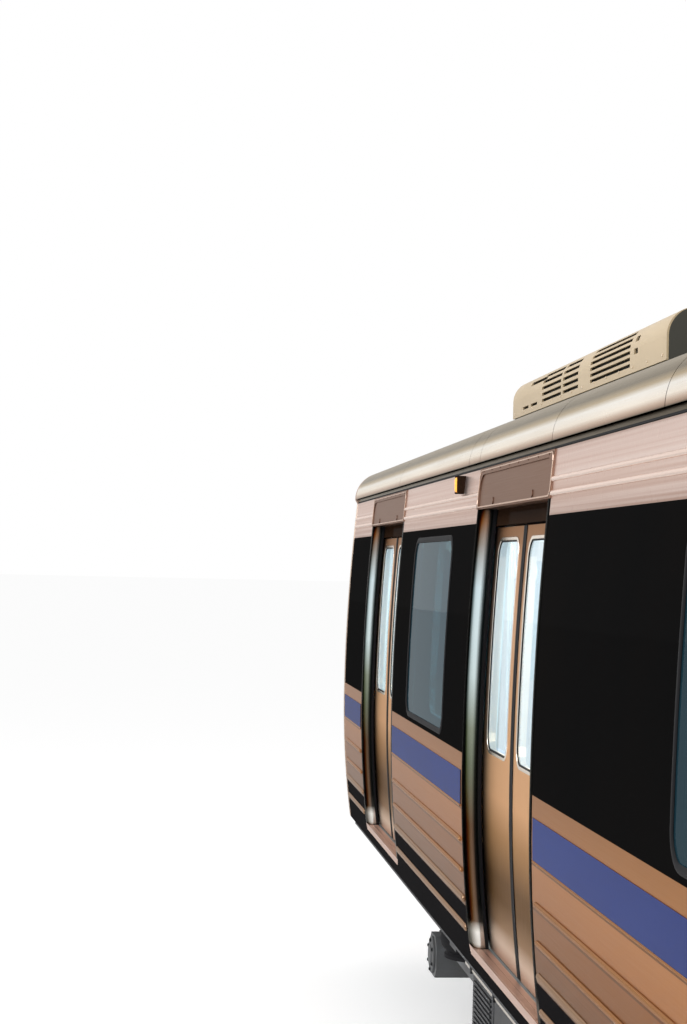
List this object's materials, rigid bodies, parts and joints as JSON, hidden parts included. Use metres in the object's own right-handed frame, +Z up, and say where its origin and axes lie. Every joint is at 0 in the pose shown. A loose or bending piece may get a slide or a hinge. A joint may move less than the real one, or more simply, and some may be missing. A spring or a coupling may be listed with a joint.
{
  "type": "metro car",
  "caption": "Stainless-steel metro car with bowed sides, sliding door leaves in wall pockets, a dark window band, roof cooling units, swivelling bogies and swinging couplers.",
  "frame": {"origin": "under the middle of the car at the tips of the wheel flanges", "axes": "+X along the car, +Y to its left side, +Z up"},
  "size_m": [20.6, 2.966, 3.818],
  "materials": {
    "black_panel": "gloss black panel",
    "bogie_grey": "dark grey bogie paint",
    "door_steel": "brushed stainless door leaf",
    "floor_vinyl": "speckled floor covering",
    "glass": "clear tinted glass",
    "lamp_white": "diffuser of the ceiling lights",
    "lining_white": "white moulded lining",
    "pole_steel": "polished grab pole",
    "roof_paint": "dark grey-green roof paint",
    "rubber": "black rubber",
    "seat_blue": "moulded blue seat",
    "stainless": "brushed stainless steel",
    "underframe_black": "black underframe paint",
    "unit_cream": "cream-white enamel",
    "wheel_steel": "bare wheel steel"
  },
  "bodies": {
    "carbody": {"ac_curbs": "roof_paint", "ac_unit_front": "unit_cream", "ac_unit_rear": "unit_cream", "cant_panels": "stainless", "cant_rails": "stainless", "ceiling": "lining_white", "centre_pivots": "underframe_black", "coupler_pockets": "underframe_black", "cross_bearers": "underframe_black", "door_headers": "black_panel", "door_lintels": "stainless", "door_posts": "stainless", "door_sills": "stainless", "end_lintels": "stainless", "end_panels": "stainless", "floor": "floor_vinyl", "grab_poles": "pole_steel", "inner_lining": "lining_white", "light_strips": "lamp_white", "lower_panels": "stainless", "roof": "roof_paint", "seat_backs": "seat_blue", "seats": "seat_blue", "skirt_panels": "underframe_black", "sole_bars": "underframe_black", "underfloor_equipment": "underframe_black", "window_panels": "black_panel", "windows": "glass"},
    "door_leaf_left_1a": {"door_leaf_left_1a": "door_steel"},
    "door_leaf_left_1b": {"door_leaf_left_1b": "door_steel"},
    "door_leaf_left_2a": {"door_leaf_left_2a": "door_steel"},
    "door_leaf_left_2b": {"door_leaf_left_2b": "door_steel"},
    "door_leaf_left_3a": {"door_leaf_left_3a": "door_steel"},
    "door_leaf_left_3b": {"door_leaf_left_3b": "door_steel"},
    "door_leaf_left_4a": {"door_leaf_left_4a": "door_steel"},
    "door_leaf_left_4b": {"door_leaf_left_4b": "door_steel"},
    "door_leaf_right_1a": {"door_leaf_right_1a": "door_steel"},
    "door_leaf_right_1b": {"door_leaf_right_1b": "door_steel"},
    "door_leaf_right_2a": {"door_leaf_right_2a": "door_steel"},
    "door_leaf_right_2b": {"door_leaf_right_2b": "door_steel"},
    "door_leaf_right_3a": {"door_leaf_right_3a": "door_steel"},
    "door_leaf_right_3b": {"door_leaf_right_3b": "door_steel"},
    "door_leaf_right_4a": {"door_leaf_right_4a": "door_steel"},
    "door_leaf_right_4b": {"door_leaf_right_4b": "door_steel"},
    "bogie_front": {"air_springs_front": "rubber", "axle_boxes_front": "bogie_grey", "bogie_frame_front": "bogie_grey", "traction_motors_front": "bogie_grey"},
    "coupler_front": {"coupler_front": "bogie_grey"},
    "end_door_front": {"end_door_front": "door_steel"},
    "bogie_rear": {"air_springs_rear": "rubber", "axle_boxes_rear": "bogie_grey", "bogie_frame_rear": "bogie_grey", "traction_motors_rear": "bogie_grey"},
    "coupler_rear": {"coupler_rear": "bogie_grey"},
    "end_door_rear": {"end_door_rear": "door_steel"},
    "wheelset_1": {"wheelset_1": "wheel_steel"},
    "wheelset_2": {"wheelset_2": "wheel_steel"},
    "wheelset_3": {"wheelset_3": "wheel_steel"},
    "wheelset_4": {"wheelset_4": "wheel_steel"}
  },
  "joints": [
    {"name": "slide_left_1b", "type": "slide", "parent": "carbody", "child": "door_leaf_left_1b", "axis": [1, 0, 0], "range_m": [0, 0.7]},
    {"name": "slide_left_1a", "type": "slide", "parent": "carbody", "child": "door_leaf_left_1a", "axis": [-1, 0, 0], "range_m": [0, 0.7]},
    {"name": "slide_left_2b", "type": "slide", "parent": "carbody", "child": "door_leaf_left_2b", "axis": [1, 0, 0], "range_m": [0, 0.7]},
    {"name": "slide_left_2a", "type": "slide", "parent": "carbody", "child": "door_leaf_left_2a", "axis": [-1, 0, 0], "range_m": [0, 0.7]},
    {"name": "slide_left_3b", "type": "slide", "parent": "carbody", "child": "door_leaf_left_3b", "axis": [1, 0, 0], "range_m": [0, 0.7]},
    {"name": "slide_left_3a", "type": "slide", "parent": "carbody", "child": "door_leaf_left_3a", "axis": [-1, 0, 0], "range_m": [0, 0.7]},
    {"name": "slide_left_4b", "type": "slide", "parent": "carbody", "child": "door_leaf_left_4b", "axis": [1, 0, 0], "range_m": [0, 0.7]},
    {"name": "slide_left_4a", "type": "slide", "parent": "carbody", "child": "door_leaf_left_4a", "axis": [-1, 0, 0], "range_m": [0, 0.7]},
    {"name": "slide_right_1b", "type": "slide", "parent": "carbody", "child": "door_leaf_right_1b", "axis": [1, 0, 0], "range_m": [0, 0.7]},
    {"name": "slide_right_1a", "type": "slide", "parent": "carbody", "child": "door_leaf_right_1a", "axis": [-1, 0, 0], "range_m": [0, 0.7]},
    {"name": "slide_right_2b", "type": "slide", "parent": "carbody", "child": "door_leaf_right_2b", "axis": [1, 0, 0], "range_m": [0, 0.7]},
    {"name": "slide_right_2a", "type": "slide", "parent": "carbody", "child": "door_leaf_right_2a", "axis": [-1, 0, 0], "range_m": [0, 0.7]},
    {"name": "slide_right_3b", "type": "slide", "parent": "carbody", "child": "door_leaf_right_3b", "axis": [1, 0, 0], "range_m": [0, 0.7]},
    {"name": "slide_right_3a", "type": "slide", "parent": "carbody", "child": "door_leaf_right_3a", "axis": [-1, 0, 0], "range_m": [0, 0.7]},
    {"name": "slide_right_4b", "type": "slide", "parent": "carbody", "child": "door_leaf_right_4b", "axis": [1, 0, 0], "range_m": [0, 0.7]},
    {"name": "slide_right_4a", "type": "slide", "parent": "carbody", "child": "door_leaf_right_4a", "axis": [-1, 0, 0], "range_m": [0, 0.7]},
    {"name": "bogie_front_swivel", "type": "hinge", "parent": "carbody", "child": "bogie_front", "pos_m": [6.7, 0, 0.95], "axis": [0, 0, 1], "range_deg": [-4, 4]},
    {"name": "wheelset_1_roll", "type": "hinge", "parent": "bogie_front", "child": "wheelset_1", "pos_m": [7.75, 0, 0.453], "axis": [0, 1, 0], "continuous": true},
    {"name": "wheelset_2_roll", "type": "hinge", "parent": "bogie_front", "child": "wheelset_2", "pos_m": [5.65, 0, 0.453], "axis": [0, 1, 0], "continuous": true},
    {"name": "coupler_front_swing", "type": "hinge", "parent": "carbody", "child": "coupler_front", "pos_m": [9.56, 0, 0.728], "axis": [0, 0, 1], "range_deg": [-10, 10]},
    {"name": "end_door_front_hinge", "type": "hinge", "parent": "carbody", "child": "end_door_front", "pos_m": [9.925, 0.39, 2], "axis": [0, 0, -1], "range_deg": [0, 95]},
    {"name": "bogie_rear_swivel", "type": "hinge", "parent": "carbody", "child": "bogie_rear", "pos_m": [-6.7, 0, 0.95], "axis": [0, 0, 1], "range_deg": [-4, 4]},
    {"name": "wheelset_3_roll", "type": "hinge", "parent": "bogie_rear", "child": "wheelset_3", "pos_m": [-5.65, 0, 0.453], "axis": [0, 1, 0], "continuous": true},
    {"name": "wheelset_4_roll", "type": "hinge", "parent": "bogie_rear", "child": "wheelset_4", "pos_m": [-7.75, 0, 0.453], "axis": [0, 1, 0], "continuous": true},
    {"name": "coupler_rear_swing", "type": "hinge", "parent": "carbody", "child": "coupler_rear", "pos_m": [-9.56, 0, 0.728], "axis": [0, 0, 1], "range_deg": [-10, 10]},
    {"name": "end_door_rear_hinge", "type": "hinge", "parent": "carbody", "child": "end_door_rear", "pos_m": [-9.925, 0.39, 2], "axis": [0, 0, 1], "range_deg": [0, 95]}
  ],
  "couplings": [
    {"joint": "slide_left_1a", "follows": "slide_left_1b", "ratio": 1},
    {"joint": "slide_left_2a", "follows": "slide_left_2b", "ratio": 1},
    {"joint": "slide_left_3a", "follows": "slide_left_3b", "ratio": 1},
    {"joint": "slide_left_4a", "follows": "slide_left_4b", "ratio": 1},
    {"joint": "slide_right_1a", "follows": "slide_right_1b", "ratio": 1},
    {"joint": "slide_right_2a", "follows": "slide_right_2b", "ratio": 1},
    {"joint": "slide_right_3a", "follows": "slide_right_3b", "ratio": 1},
    {"joint": "slide_right_4a", "follows": "slide_right_4b", "ratio": 1}
  ]
}
